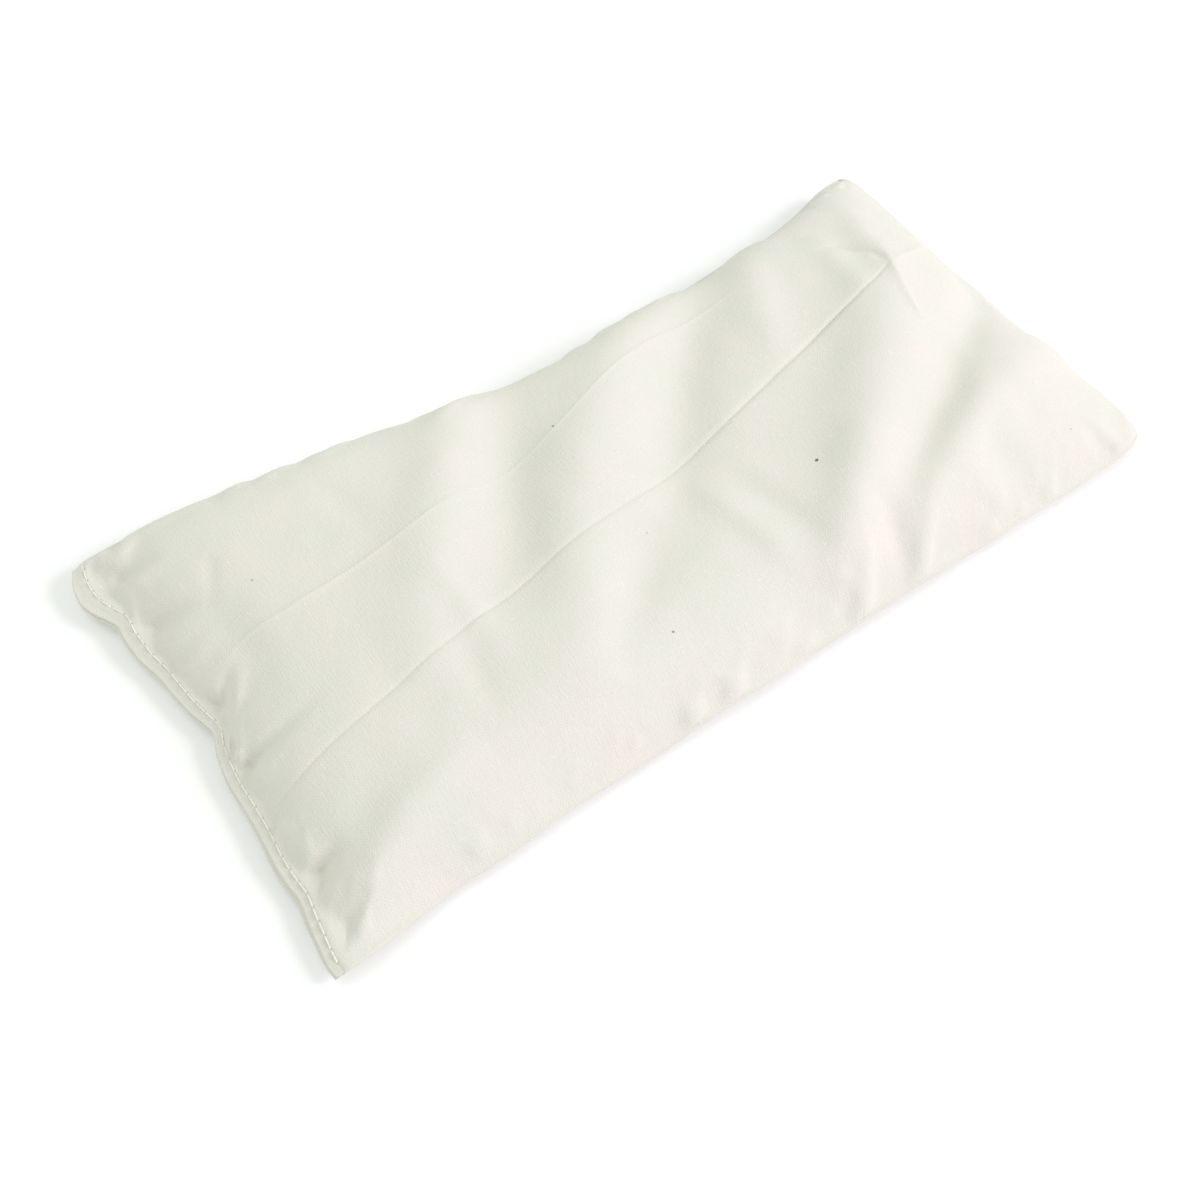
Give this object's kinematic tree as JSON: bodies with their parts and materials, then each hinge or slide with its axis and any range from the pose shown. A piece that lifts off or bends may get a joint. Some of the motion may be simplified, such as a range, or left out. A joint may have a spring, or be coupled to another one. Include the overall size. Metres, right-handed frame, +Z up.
{
  "type": "eye pillow",
  "caption": "Slack rectangular calico eye pillow filled with loose seed, seamed round the inside and topstitched shut across its end; lies over closed eyes for relaxation.",
  "frame": {"origin": "under the middle of the bag's bounding box, on the surface it lies on", "axes": "+X along the bag from its topstitched closing seam to its blind end, +Y across it, +Z up out of the surface it lies on"},
  "size_m": [0.2216, 0.1084, 0.0213],
  "materials": {
    "calico": "plain-woven unbleached cotton calico, matt",
    "sewing_thread": "spun cotton sewing thread, matt",
    "flaxseed": "small glossy brown seeds"
  },
  "bodies": {
    "root": {"upper_panel": "calico", "lower_panel": "calico", "flaxseed_fill": "flaxseed", "closing_seam_needle_thread": "sewing_thread", "closing_seam_bobbin_thread": "sewing_thread", "side_seam_needle_thread": "sewing_thread", "side_seam_bobbin_thread": "sewing_thread"}
  },
  "joints": []
}
